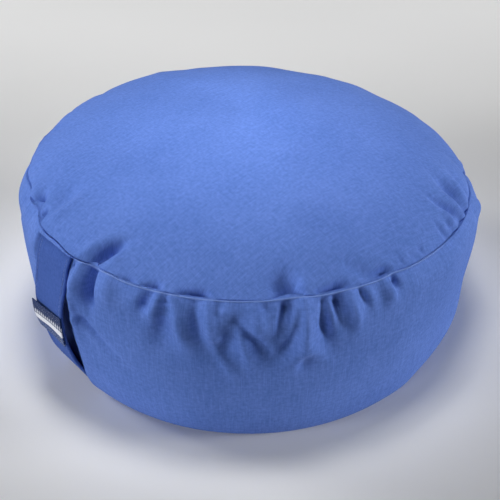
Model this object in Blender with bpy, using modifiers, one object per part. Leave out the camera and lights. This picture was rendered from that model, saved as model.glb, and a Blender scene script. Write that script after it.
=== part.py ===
"""Zafu meditation cushion: a round, filled cotton cushion with a carry strap and a woven tag.

The origin is on the floor under the middle of the cushion, +Z is up and the carry strap is
towards -Y. A bearing is an angle round the cushion in degrees, counted from the strap,
anticlockwise as seen from above. Sizes are in millimetres up to the moment a mesh is made.
"""
import math

import bmesh
import bpy
import numpy as np

MM = 0.001                  # metres in a millimetre

# ---- Driving sizes ---------------------------------------------------------------------------
SEAM_RADIUS = 155.0         # top seam, mean of its uneven ring
SEAM_HEIGHT = 112.0         # top seam above the floor, mean
CROWN_RISE = 41.0           # how far the top panel is filled up above its seam
CROWN_POWER = 1.65          # how flat the crown is in the middle
RIM_POWER = 0.6             # how round the crown's rim is
RIM_LEAN = 65.0             # degrees that the crown's rim leans outwards, for its folds
BAND_BULGE = 8.5            # how far the side band swells out past the seam
WIDEST_SHARE = 0.85         # height of the widest ring, as a share of the seam's height
BULGE_POWER = 2.2           # how quickly the band turns in to the top seam
FOOT_RADIUS = 144.0         # where the band has turned under and meets the floor
FOOT_POWER = 2.4            # how square the turn at the foot is
FOOT_SEAM_RADIUS = 139.0    # bottom seam, under the cushion
FOOT_SEAM_DEPTH = 2.2
FOOT_SEAM_HALF = 2.3
SEAM_GROOVE = 1.3           # how deep the top seam is drawn in
SEAM_FOLD_SHARE = 0.4       # share of a fold's depth that is left in the seam itself

STRAP_WIDTH = 35.0
STRAP_THICK = 2.2           # cotton folded double and topstitched
STRAP_TWIST = 0.8           # how far one edge stands out past the middle of the loop
LIE = 0.4                   # gap between pieces that touch
FINGER_AIR = 7.4            # free depth behind the middle of the strap

TAG_WIDTH = 35.6
TAG_HEIGHT = 22.5
TAG_THICK = 0.9
TAG_MIDDLE_HEIGHT = 59.5    # height of the tag's middle above the floor
TAG_TILT = 7.0              # degrees, the right end is the higher one

# ---- How finely the pieces are divided -----------------------------------------------------------
ROUND_STEPS = 150           # columns round the cushion
CLOSEST_BEARING = 40.0      # where the columns stand closest together: between strap and front
CLOSENESS = 0.3             # share by which they are closer there, and wider apart opposite
BED_STEPS = 60              # points along the hollow behind the strap
STRAP_ROWS = 32
STRAP_SIDES = (-1.0, -0.34, 0.34, 1.0)
TAG_ROUTE_STEPS = 240       # points on the strap's route among which the tag's rows are placed
TAG_ROWS = 6
TAG_COLUMNS = 5
ROUTE_STEPS = 12            # points between two points of the strap's route
TOUCH = 0.01                # points this close lie on the same seam or floor

# ---- Unevenness of the filled cushion ----------------------------------------------------------
# size, waves round the cushion, amplitude, bearing of a peak
UNEVEN = (
    ("seam_height", 1, 10.0, -40.0),
    ("seam_height", 2, 3.5, 95.0),
    ("seam_radius", 2, 4.0, 15.0),
    ("foot_radius", 1, 1.5, -40.0),
    ("foot_radius", 2, 5.0, 50.0),
    ("crown", 1, 10.0, 175.0),
)

# Along the front the crown runs down to its seam in a straight slope, which starts at a soft bend.
# bearing, distance of the bend from the seam
CROWN_BENDS = (
    (-20.0, 0.0),
    (0.0, 8.0),
    (17.0, 22.0),
    (32.0, 35.0),
    (49.0, 33.0),
    (65.0, 22.0),
    (80.0, 13.0),
    (100.0, 8.0),
    (125.0, 0.0),
)
BEND_SOFTNESS = 1.4
BEND_IS_FULL = 8.0          # a bend this far from the seam is cut in full, a nearer one in part
LEAST_BEND = 0.1
SEAM_KEPT = 2.0             # distance from the seam over which the bend's softness comes in

# Where the seam itself is pulled out of its even ring.
# bearing, half width in degrees, outwards
SEAM_PULLS = (
    (-24.0, 3.0, -2.0),
    (-14.5, 3.0, -3.0),
    (12.7, 2.4, -2.5),
    (141.0, 4.0, -1.5),
    (196.0, 5.0, -1.5),
    (255.0, 5.0, -2.0),
    (306.0, 4.0, -1.5),
)
PULL_REACH = 13.0           # how far over the panels such a pull is felt

# The main folds that the two seams and the fill draw in the cloth, one row each. A fold starts at a
# bearing and a reach, the distance from the top seam over its panel. It runs a length away from the
# seam, leaning by some degrees towards the higher bearings (90 runs along the seam), and its middle
# is bent sideways. Half width and depth are those of its deepest place, a share of its length; a
# negative depth is a trough.
# panel, bearing, reach, length, lean, bend, half width, depth, deepest
FOLDS = (
    # a wide sweep: the right side of the band is slimmer
    ("band", 100, 58, 150, 90, 0, 23, -2.6, 0.5),
    # the deep pucker beside the strap and the roll of cloth over it
    ("top", 12.2, 0, 25, 32, -2, 3.8, -7, 0.45),
    ("top", 8, 0, 32, 38, -1, 5, 4, 0.3),
    # the small and the broad dents along the front of the seam, and the ridge between them
    ("top", 26, 1, 12, 90, -1, 3, -3, 0.5),
    ("top", 34, 1, 20, 90, -1, 3, -3.5, 0.6),
    ("top", 58.5, 1, 23, -30, 0, 9, -6, 0.2),
    ("top", 62, 1, 14, 0, 0, 5, 2, 0.3),
    ("top", 65, 1, 20, 90, 0, 3, -3, 0.5),
    ("top", 73, 10, 17, 117, 0, 4, -2.4, 0.6),
    ("top", 78, 2.5, 18, 96, 0, 3, -3.5, 0.6),
    # the fan of soft rays at the right
    ("top", 106, 0.5, 13, -15, -2, 3.5, -1.6, 0.3),
    ("top", 115.5, 0.5, 31, -25, -4, 4, -3, 0.3),
    ("top", 118, 1, 20, -10, -3, 5, 1.8, 0.3),
    ("top", 120.5, 0.5, 28, 18, -3, 5, -3.6, 0.35),
    ("top", 123, 2, 26, 36, 0, 5, 2, 0.3),
    ("top", 128, 4, 17, 40, 0, 5, -2, 0.4),
    # the soft roll that runs up from the strap's left corner, and the dents left of it
    ("top", -7, 0, 37, -13, 6, 5, 2.6, 0.25),
    ("top", -7, 5.5, 35, -45, 3, 8.5, -2.8, 0.5),
    ("top", -15, 0.5, 14, -55, 0, 4, -4.5, 0.2),
    # the band beside the strap: a bulge, a deep crevice, a broad swelling and a long soft crease
    ("band", 8.2, 3, 28, -5, 0, 4.2, 4.4, 0.4),
    ("band", 12.7, 0.5, 32, -3, 1, 4, -8.5, 0.45),
    ("band", 17.5, 0.5, 24, 8, 0, 6, 2.6, 0.25),
    ("band", 7, 33, 50, 56, 0, 4, -3, 0.2),
    ("band", 9, 47, 23, 42, 0, 8, -1.6, 0.5),
    # the puckers left of the front's middle
    ("band", 27.3, 1, 13, -22, 0, 3.6, -3.4, 0.5),
    ("band", 29.2, 1.5, 17, -12, 0, 3.4, 3, 0.4),
    ("band", 32, 9, 32, -12, 0, 5, -4.6, 0.35),
    ("band", 32.3, 1.5, 40, 19, 0, 4, 3.6, 0.4),
    ("band", 37, 1.5, 34, 18, -2, 4, -4, 0.5),
    ("band", 40.8, 2, 25, 9, 0, 4.8, 3.6, 0.75),
    # the crossing folds in the middle of the front
    ("band", 46.3, 8, 36, -11, -1, 4, -3.4, 0.4),
    ("band", 46.5, 8, 37, 33, 0, 3.6, -4, 0.5),
    ("band", 47.6, 20, 34, 15, 0, 3.6, 2.4, 0.3),
    ("band", 50.5, 4, 22, 12, 0, 5.5, 3.4, 0.4),
    ("band", 57.3, 1.5, 22, -14, 0, 4, -4.6, 0.1),
    ("band", 60.3, 7, 38, -26, 3.5, 3.6, -3.6, 0.6),
    # the tall ridge that forks, and the crevice right of it
    ("band", 61, 2, 32, -3, 0, 4.8, 4.6, 0.65),
    ("band", 60.8, 30, 28, -26, 0, 4.4, 3.2, 0.1),
    ("band", 61.4, 29, 26, 34, 0, 4, 2.8, 0.1),
    ("band", 65, 3, 32, 8, -2, 4, -5, 0.5),
    # the puckers right of it
    ("band", 68.2, 1.5, 22, 13, 0, 4.2, -4.6, 0.1),
    ("band", 71, 2, 28, 11, 0, 4, 3.6, 0.45),
    ("band", 74, 1, 17, 18, 0, 3.2, -2.6, 0.2),
    ("band", 78.4, 6, 18, 4, 0, 4.4, -1.4, 0.4),
    ("band", 80.5, 1.5, 18, 20, 0, 4, 2.8, 0.3),
    ("band", 83.4, 1, 8, 0, 0, 3.2, -3, 0.4),
    ("band", 107, 2, 21, 47, 0, 4, -1, 0.3),
    # the top panel's far side
    ("top", 141, 1, 22, 14, 0, 6, -1.6, 0.2),
    ("top", 168, 1, 19, -31, 0, 6, -1.3, 0.2),
    ("top", 196, 1, 27, 17, 0, 6, -1.6, 0.2),
    ("top", 226, 1, 20, -32, 0, 6, -1.3, 0.2),
    ("top", 251, 1, 26, 24, 0, 6, -1.6, 0.2),
    ("top", 284, 1, 20, -23, 0, 6, -1.3, 0.2),
    ("top", 309, 1, 23, 20, 0, 6, -1.6, 0.2),
    ("top", 331, 1, 18, -27, 0, 6, -1.4, 0.2),
    # the band's far side
    ("band", 127, 1, 20, -8, 0, 5, -2.3, 0.2),
    ("band", 146, 1, 34, 13, 0, 6, -3, 0.2),
    ("band", 160, 1, 22, -14, 0, 5, 2, 0.3),
    ("band", 172, 1, 28, 11, 0, 6, -2.8, 0.2),
    ("band", 191, 1, 39, -16, 0, 6.5, -3.3, 0.2),
    ("band", 209, 1, 24, 13, 0, 5.5, -2.4, 0.2),
    ("band", 229, 1, 35, 18, 0, 6, -3, 0.2),
    ("band", 247, 1, 20, -16, 0, 5.5, 2, 0.3),
    ("band", 262, 1, 36, -13, 0, 6.5, -3.3, 0.2),
    ("band", 279, 1, 22, 14, 0, 5.5, -2.3, 0.2),
    ("band", 300, 1, 36, 13, 0, 6, -3, 0.2),
    ("band", 321, 1, 25, -19, 0, 5.5, -2.5, 0.2),
    ("band", 338, 1, 18, -17, 0, 5, -2, 0.3),
)
FOLD_STARTS = 0.5           # share of a fold's depth where it starts
FOLD_ENDS = 0.15            # and where it has run out
FOLD_SPREAD = 0.5           # share by which a fold is wider at its end than at its start
FOLD_POINTS = 5             # points along a fold's curve

# The strap's outer face along the middle of the strap, from the top seam to the bottom one.
# distance from the middle of the cushion, height
STRAP_ROUTE = (
    (160.0, 114.0),
    (163.5, 107.0),
    (166.0, 98.0),
    (169.0, 87.0),
    (171.0, 76.0),
    (171.5, 64.0),
    (170.5, 52.0),
    (168.0, 41.0),
    (164.5, 30.0),
    (160.0, 19.5),
    (155.0, 10.0),
    (150.0, 3.5),
    (144.0, 0.8),
)
# how much of FINGER_AIR lies behind the strap, by height: it loops free in its lower half
LOOP_LIFT = ((0, 0.0), (20, 0.0), (30, 0.35), (44, 1.0), (76, 1.0), (90, 0.2), (100, 0.0), (120, 0.0))
HOLLOW_FLAT = 24.5          # half width of the hollow behind the strap, at full depth
HOLLOW_LEFT_EDGE = 38.0     # half widths where the hollow has run out
HOLLOW_RIGHT_EDGE = 31.0
HOLLOW_PAST_TOP = 3.0       # how far the hollow runs on past the strap's ends
HOLLOW_PAST_END = 7.0

# ---- Colours, linear ---------------------------------------------------------------------------
# node, colour, roughness
FINISHES = {
    "cushion_body": ((0.105, 0.205, 0.640, 1.0), 0.88),
    "carry_strap": ((0.045, 0.094, 0.360, 1.0), 0.88),
    "woven_tag": ((0.012, 0.030, 0.115, 1.0), 0.70),
}


def uneven(size, bearing):
    """The offset of one of the cushion's sizes at a bearing."""
    offset = np.zeros_like(bearing)
    for name, waves, amplitude, peak in UNEVEN:
        if name == size:
            offset += amplitude * np.cos(np.radians(waves * (bearing - peak)))
    return offset


def smooth(edge0, edge1, x):
    """0 before edge0, 1 after edge1 and a soft step between them."""
    t = np.clip((x - edge0) / (edge1 - edge0), 0.0, 1.0)
    return t * t * (3.0 - 2.0 * t)


def turn_between(bearing, other):
    """The shorter way round from one bearing to another, in degrees."""
    return (bearing - other + 180.0) % 360.0 - 180.0


def run_lengths(points):
    """The distance along a line of points, at each of them."""
    steps = np.linalg.norm(np.diff(points, axis=0), axis=1)
    return np.concatenate(([0.0], np.cumsum(steps)))


def smooth_curve(points, count):
    """Count points at even spacing on a smooth curve through the given points."""
    p = np.array(points, float)
    p = np.vstack((2.0 * p[0] - p[1], p, 2.0 * p[-1] - p[-2]))
    dense = []
    for a, b, c, d in zip(p[:-3], p[1:-2], p[2:-1], p[3:]):
        for t in np.linspace(0.0, 1.0, ROUTE_STEPS, endpoint=False):
            bent = (c - a) * t + (2 * a - 5 * b + 4 * c - d) * t ** 2 + (3 * b - a - 3 * c + d) * t ** 3
            dense.append(b + 0.5 * bent)
    dense.append(p[-2])
    dense = np.array(dense)
    length = run_lengths(dense)
    even = np.linspace(0.0, length[-1], count)
    return np.column_stack([np.interp(even, length, dense[:, i]) for i in (0, 1)])


# ---- The cushion's mean section ----------------------------------------------------------------
WIDEST_RADIUS = SEAM_RADIUS + BAND_BULGE
WIDEST_HEIGHT = WIDEST_SHARE * SEAM_HEIGHT


def crown_share(rho):
    """The crown's height over its seam, 1 in the middle and 0 at the seam."""
    return (1.0 - np.clip(rho, 0.0, 1.0) ** CROWN_POWER) ** RIM_POWER


def foot_turn(height):
    """How far the band has turned in towards the foot: 0 at its widest ring, 1 on the floor."""
    down = np.clip((WIDEST_HEIGHT - height) / WIDEST_HEIGHT, 0.0, 1.0)
    return 1.0 - (1.0 - down ** FOOT_POWER) ** (1.0 / FOOT_POWER)


def band_radius(height):
    up = np.clip((height - WIDEST_HEIGHT) / (SEAM_HEIGHT - WIDEST_HEIGHT), 0.0, 1.0)
    turned_in = (WIDEST_RADIUS - FOOT_RADIUS) * foot_turn(height)
    return WIDEST_RADIUS - BAND_BULGE * up ** BULGE_POWER - turned_in


TOP_REACHES = (140, 118, 96, 76, 58, 44, 33, 24.5, 17.5, 12, 7.5, 4, 1.6)
BAND_DROPS = (1.8, 4.5, 8, 12.5, 17.5, 23, 29, 36, 44, 54, 65, 76, 86, 94.5, 101, 106, 109, 111)


def mean_section():
    """The section from the crown's middle, down the outer side, to the base's middle."""
    section = [(0.0, SEAM_HEIGHT + CROWN_RISE)]
    for reach in TOP_REACHES:
        rho = 1.0 - reach / SEAM_RADIUS
        section.append((rho * SEAM_RADIUS, SEAM_HEIGHT + CROWN_RISE * crown_share(rho)))
    section.append((SEAM_RADIUS, SEAM_HEIGHT))
    for drop in BAND_DROPS:
        section.append((float(band_radius(SEAM_HEIGHT - drop)), SEAM_HEIGHT - drop))
    section.append((FOOT_RADIUS, 0.0))
    section.append((FOOT_SEAM_RADIUS + FOOT_SEAM_HALF, 0.0))
    section.append((FOOT_SEAM_RADIUS, FOOT_SEAM_DEPTH))
    section.append((FOOT_SEAM_RADIUS - FOOT_SEAM_HALF, 0.0))
    section.append((0.0, 0.0))
    return section


def crown_height(bearing, reach):
    """The crown's height over its seam, by the distance from the seam."""
    rho = np.clip(1.0 - reach / SEAM_RADIUS, 0.0, 1.0)
    return (CROWN_RISE + uneven("crown", bearing) * rho) * crown_share(rho)


def bend_cut(bearing, reach):
    """How far the crown is cut down to its straight slope along the front."""
    bearings, bends = zip(*CROWN_BENDS)
    bend = np.interp(turn_between(bearing, 0.0), bearings, bends)
    bend = np.maximum(bend, LEAST_BEND)
    gap = crown_height(bearing, reach) - crown_height(bearing, bend) * reach / bend
    softness = BEND_SOFTNESS * np.exp(-reach / SEAM_KEPT)
    cut = (gap + np.sqrt(gap ** 2 + BEND_SOFTNESS ** 2) - softness) / 2.0
    return cut * smooth(0.0, BEND_IS_FULL, bend)


# ---- The folds ---------------------------------------------------------------------------------
def fold_path(length, lean, bend):
    """A fold's curve from its start, as (distance round, distance from the seam) points."""
    share = np.linspace(0.0, 1.0, FOLD_POINTS)
    along, aside = length * share, bend * 4.0 * share * (1.0 - share)
    lean = math.radians(lean)
    around = along * math.sin(lean) + aside * math.cos(lean)
    return share, np.column_stack((around, along * math.cos(lean) - aside * math.sin(lean)))


def fold_relief(panel, bearing, reach):
    """The height of all of a panel's folds at the points given by bearing and reach."""
    relief = np.zeros_like(bearing)
    for name, start, start_reach, length, lean, bend, half, depth, deepest in FOLDS:
        if name == panel:
            around = np.radians(turn_between(bearing, start)) * SEAM_RADIUS
            share, path = fold_path(length, lean, bend)
            relief += depth * path_relief(share, path, half, deepest, around, reach - start_reach)
    return relief


def path_relief(share, path, half, deepest, around, down):
    """A fold's shape, 1 at its deepest place, fading along its path and away to its sides."""
    nearest = np.full_like(around, np.inf)
    place = np.zeros_like(around)
    for share_a, share_b, a, b in zip(share[:-1], share[1:], path[:-1], path[1:]):
        run = b - a
        t = np.clip(((around - a[0]) * run[0] + (down - a[1]) * run[1]) / run.dot(run), 0.0, 1.0)
        away = np.hypot(around - a[0] - t * run[0], down - a[1] - t * run[1])
        closer = away < nearest
        nearest = np.where(closer, away, nearest)
        place = np.where(closer, share_a + (share_b - share_a) * t, place)
    rise = FOLD_STARTS + (1.0 - FOLD_STARTS) * smooth(0.0, deepest, place)
    fall = 1.0 - (1.0 - FOLD_ENDS) * smooth(deepest, 1.0, place)
    widths = half * (1.0 + FOLD_SPREAD * (place - deepest))
    return rise * fall * np.exp(-(nearest / widths) ** 2)


# ---- The strap's place -------------------------------------------------------------------------
def strap_lift(height):
    """The free depth behind the strap at a height."""
    heights, shares = zip(*LOOP_LIFT)
    return FINGER_AIR * np.interp(height, heights, shares)


def strap_section(count):
    """The strap's outer face and its inward normal, as (distance, height) rows."""
    face = smooth_curve(STRAP_ROUTE, count)
    run = np.gradient(face, axis=0)
    run /= np.linalg.norm(run, axis=1)[:, None]
    inward = np.column_stack((run[:, 1], -run[:, 0]))
    return face, inward


def hollow_bed():
    """The line that the cushion keeps behind under the strap, as (distance, height) rows."""
    face, inward = strap_section(BED_STEPS)
    back = STRAP_THICK + LIE + strap_lift(face[:, 1])
    bed = face + inward * back[:, None]
    first, last = bed[0] - bed[1], bed[-1] - bed[-2]
    above = bed[0] + first / np.linalg.norm(first) * HOLLOW_PAST_TOP
    below = bed[-1] + last / np.linalg.norm(last) * HOLLOW_PAST_END
    return np.vstack((above, bed, below))


def press_hollow(x, y, z):
    """Move the points that lie under the strap back behind the bed."""
    bed = hollow_bed()
    edge = np.where(x < 0.0, HOLLOW_LEFT_EDGE, HOLLOW_RIGHT_EDGE)
    share = (1.0 - smooth(HOLLOW_FLAT, edge, np.abs(x))) * (y < 0.0)
    start, end = bed[:-1], bed[1:]
    run = end - start
    for i in np.flatnonzero(share > 0.0):
        point = np.array((-y[i], z[i]))
        t = np.clip(((point - start) * run).sum(axis=1) / (run * run).sum(axis=1), 0.0, 1.0)
        foot = start + run * t[:, None]
        away = np.linalg.norm(point - foot, axis=1)
        k = int(np.argmin(away))
        outward = np.array((-run[k][1], run[k][0]))
        if (point - foot[k]).dot(outward) > 0.0 and 0.0 < t[k] + k < len(run):
            moved = point + (foot[k] - point) * share[i]
            y[i], z[i] = -moved[0], moved[1]
    return y, z


# ---- The cushion's form --------------------------------------------------------------------------
def closer_columns(bearing):
    """Bearings moved so that the columns stand closer together near CLOSEST_BEARING."""
    around = np.radians(bearing - CLOSEST_BEARING)
    return bearing - np.degrees(CLOSENESS * np.sin(around))


def top_form(radius, z, bearing, seam_lift, seam_out, at_seam):
    """The top panel: the crown leans, its rim follows the seam and its folds lie in it."""
    rho = np.clip(radius / SEAM_RADIUS, 0.0, 1.0)
    reach = SEAM_RADIUS - radius
    top_radius = radius + seam_out * rho
    top_height = z + seam_lift * rho ** 2 + uneven("crown", bearing) * rho * crown_share(rho)
    top_height -= bend_cut(bearing, reach)
    lean = np.radians(RIM_LEAN * rho ** 3)
    relief = fold_relief("top", bearing, reach) * np.where(at_seam, SEAM_FOLD_SHARE, 1.0)
    top_radius += relief * np.sin(lean) - SEAM_GROOVE * at_seam
    return top_radius, top_height + relief * np.cos(lean)


def side_form(radius, z, bearing, seam_lift, seam_out):
    """The band and the base: they follow the seam above and the foot below."""
    under = z < TOUCH
    turn = np.where(z > WIDEST_HEIGHT, 0.0, foot_turn(z))
    turn[under] = 1.0
    foot_out = uneven("foot_radius", bearing) * np.minimum(radius / FOOT_RADIUS, 1.0)
    side_radius = radius + seam_out * (1.0 - turn) + foot_out * turn
    side_radius += np.where(under, 0.0, fold_relief("band", bearing, SEAM_HEIGHT - z))
    return side_radius, z * (1.0 + seam_lift / SEAM_HEIGHT)


def shape_cushion(mesh):
    """Push the turned mesh into the cushion's uneven, puckered form."""
    points = np.empty(len(mesh.vertices) * 3)
    mesh.vertices.foreach_get("co", points)
    x, y, z = (points.reshape(-1, 3) / MM).T
    radius = np.hypot(x, y)
    bearing = closer_columns(np.degrees(np.arctan2(x, -y)))
    at_seam = (np.abs(z - SEAM_HEIGHT) < TOUCH) & (np.abs(radius - SEAM_RADIUS) < TOUCH)
    on_top = (z > SEAM_HEIGHT - TOUCH) & (radius < SEAM_RADIUS + TOUCH)

    seam_lift = uneven("seam_height", bearing)
    seam_out = uneven("seam_radius", bearing)
    past_seam = np.hypot(radius - SEAM_RADIUS, z - SEAM_HEIGHT)
    for at, half, outwards in SEAM_PULLS:
        aside = turn_between(bearing, at) / half
        seam_out += outwards * np.exp(-aside ** 2 - past_seam / PULL_REACH)
    top_radius, top_height = top_form(radius, z, bearing, seam_lift, seam_out, at_seam)
    side_radius, side_height = side_form(radius, z, bearing, seam_lift, seam_out)

    radius = np.where(on_top, top_radius, side_radius)
    z = np.where(on_top, top_height, side_height)
    x = radius * np.sin(np.radians(bearing))
    y = -radius * np.cos(np.radians(bearing))
    y, z = press_hollow(x, y, z)
    mesh.vertices.foreach_set("co", np.column_stack((x, y, z)).ravel() * MM)
    mesh.update()


# ---- Objects -----------------------------------------------------------------------------------
def finish(obj):
    """Give a piece its own material and put it in the model's collection."""
    colour, roughness = FINISHES[obj.name]
    material = bpy.data.materials.new(obj.name + "_cloth")
    material.use_nodes = True
    shader = material.node_tree.nodes["Principled BSDF"]
    shader.inputs["Base Color"].default_value = colour
    shader.inputs["Roughness"].default_value = roughness
    shader.inputs["Metallic"].default_value = 0.0
    obj.data.materials.clear()
    obj.data.materials.append(material)
    obj.data.shade_smooth()


def make_object(name, mesh, collection):
    obj = bpy.data.objects.new(name, mesh)
    collection.objects.link(obj)
    return obj


def make_cushion_body(collection):
    """The filled cushion: its mean section turned round, then pushed into shape."""
    profile = bpy.data.meshes.new("cushion_section")
    section = [(radius * MM, 0.0, height * MM) for radius, height in mean_section()]
    profile.from_pydata(section, [(i, i + 1) for i in range(len(section) - 1)], [])
    turned = make_object("cushion_body", profile, collection)
    screw = turned.modifiers.new("turn", "SCREW")
    screw.steps = screw.render_steps = ROUND_STEPS
    screw.use_merge_vertices = True
    screw.merge_threshold = 0.00001
    evaluated = turned.evaluated_get(bpy.context.evaluated_depsgraph_get())
    mesh = bpy.data.meshes.new_from_object(evaluated)
    turned.modifiers.clear()
    turned.data = mesh
    shape_cushion(mesh)
    finish(turned)
    return turned


def strap_point(side, face, inward, i):
    """A point of the strap's outer face; side runs from -1 to 1 across the strap."""
    twist = side * STRAP_TWIST * strap_lift(face[i, 1]) / FINGER_AIR
    distance, height = face[i] - inward[i] * twist
    return side * STRAP_WIDTH / 2.0, -distance, height


def sheet(name, rows, thickness, collection):
    """A thin piece from the rows of points on its outer face, thickened inwards."""
    mesh = bpy.data.meshes.new(name)
    grid = bmesh.new()
    verts = [[grid.verts.new((x * MM, y * MM, z * MM)) for x, y, z in row] for row in rows]
    for upper, lower in zip(verts[:-1], verts[1:]):
        for i in range(len(upper) - 1):
            grid.faces.new((upper[i], lower[i], lower[i + 1], upper[i + 1]))
    grid.to_mesh(mesh)
    grid.free()
    obj = make_object(name, mesh, collection)
    solidify = obj.modifiers.new("thickness", "SOLIDIFY")
    solidify.thickness = thickness * MM
    solidify.offset = -1.0
    finish(obj)
    return obj


def make_carry_strap(collection):
    """A flat strap from the top seam to the bottom one, standing off the band in its lower half."""
    face, inward = strap_section(STRAP_ROWS)
    rows = [[strap_point(side, face, inward, i) for side in STRAP_SIDES] for i in range(STRAP_ROWS)]
    return sheet("carry_strap", rows, STRAP_THICK, collection)


def make_woven_tag(collection):
    """The tag lies across the outer face of the strap's loop, a little askew."""
    face, inward = strap_section(TAG_ROUTE_STEPS)
    heights = face[::-1, 1]
    rows = []
    out = LIE + TAG_THICK
    for up in np.linspace(0.5, -0.5, TAG_ROWS):
        row = []
        for side in np.linspace(-0.5, 0.5, TAG_COLUMNS):
            across = side * TAG_WIDTH
            height = TAG_MIDDLE_HEIGHT + up * TAG_HEIGHT + across * math.tan(math.radians(TAG_TILT))
            i = len(face) - 1 - int(np.searchsorted(heights, height))
            _, y, z = strap_point(2.0 * across / STRAP_WIDTH, face, inward, i)
            row.append((across, y + inward[i, 0] * out, z - inward[i, 1] * out))
        rows.append(row)
    return sheet("woven_tag", rows, TAG_THICK, collection)


def main():
    for obj in list(bpy.data.objects):
        bpy.data.objects.remove(obj, do_unlink=True)
    collection = bpy.data.collections.new("meditation_cushion")
    bpy.context.scene.collection.children.link(collection)
    make_cushion_body(collection)
    make_carry_strap(collection)
    make_woven_tag(collection)


main()
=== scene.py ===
"""The looks of a zafu meditation cushion: its cotton cover, its carry strap and its woven tag.

The cover is one closed piece. Its mean section is turned round the Z axis, made as uneven as a
filled cushion is, and then given its folds, its seams and the hollow behind the strap. A bearing is
an angle round the cushion in degrees, counted from the strap at -Y, anticlockwise from above.
Sizes are in millimetres until a mesh is made.
"""
import math
import random

import bpy
import numpy as np
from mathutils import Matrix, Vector


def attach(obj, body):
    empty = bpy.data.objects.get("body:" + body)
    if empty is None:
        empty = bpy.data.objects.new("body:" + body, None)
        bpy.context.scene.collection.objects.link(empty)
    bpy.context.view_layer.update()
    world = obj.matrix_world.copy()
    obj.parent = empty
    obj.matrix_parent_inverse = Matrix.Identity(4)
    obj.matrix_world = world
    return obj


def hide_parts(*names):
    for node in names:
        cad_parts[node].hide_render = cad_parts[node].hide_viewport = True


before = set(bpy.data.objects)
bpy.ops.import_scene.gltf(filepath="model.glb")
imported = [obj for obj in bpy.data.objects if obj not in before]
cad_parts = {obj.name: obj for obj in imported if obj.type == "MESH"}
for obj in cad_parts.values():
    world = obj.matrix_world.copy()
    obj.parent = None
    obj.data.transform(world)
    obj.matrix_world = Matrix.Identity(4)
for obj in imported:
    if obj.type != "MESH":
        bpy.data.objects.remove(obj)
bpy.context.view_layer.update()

MM = 0.001

# ---- Sizes of the cushion, as in the solids ----
SEAM_RADIUS = 155.0
SEAM_HEIGHT = 112.0
CROWN_RISE = 41.0
CROWN_POWER = 1.65
RIM_POWER = 0.6
BAND_BULGE = 8.5
WIDEST_SHARE = 0.85
BULGE_POWER = 2.2
FOOT_RADIUS = 144.0
FOOT_POWER = 2.4
FOOT_SEAM_RADIUS = 139.0
WIDEST_RADIUS = SEAM_RADIUS + BAND_BULGE
WIDEST_HEIGHT = WIDEST_SHARE * SEAM_HEIGHT

# size, waves round the cushion, amplitude, bearing of a peak
UNEVEN = (
    ("seam_height", 1, 10.0, -40.0),
    ("seam_height", 2, 3.5, 95.0),
    ("seam_radius", 2, 4.0, 15.0),
    ("foot_radius", 1, 1.5, -40.0),
    ("foot_radius", 2, 5.0, 50.0),
    ("crown", 1, 10.0, 175.0),
)

# Along the front the crown runs down to its seam in a straight slope, which starts at a soft bend.
# bearing, distance of the bend from the seam
CROWN_BENDS = (
    (-20, 0),
    (0, 8),
    (17, 22),
    (32, 35),
    (49, 33),
    (65, 22),
    (80, 13),
    (100, 8),
    (125, 0),
)
BEND_SOFTNESS = 1.4
BEND_IS_FULL = 8.0  # a bend nearer to the seam than this is cut only in part
LEAST_BEND = 0.1
SEAM_KEPT = 2.0  # distance from the seam over which the bend's softness comes in

# Where the seam itself is pulled out of its even ring.
# bearing, half width in degrees, outwards, upwards
SEAM_PULLS = (
    (-31, 4, 1.5, 0),
    (-24, 3, -2, 0),
    (-14.5, 3, -3, 0),
    (-5.5, 3.5, 1.5, 0),
    (5.5, 3.5, 1.5, 0),
    (12.7, 2.2, -2.5, -0.5),
    (17, 3, 0, 1.5),
    (58, 4, -1, 0.5),
    (84, 3, -1, 0.5),
    (141, 4, -1.5, 0.5),
    (172, 4, -1, -0.5),
    (196, 5, -1.5, 0.5),
    (228, 4, -1, 0.5),
    (255, 5, -2, 0.5),
    (284, 4, -1, 0.5),
    (306, 4, -1.5, 0.5),
)
PULL_REACH = 13.0  # how far over the panels such a pull is felt

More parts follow.
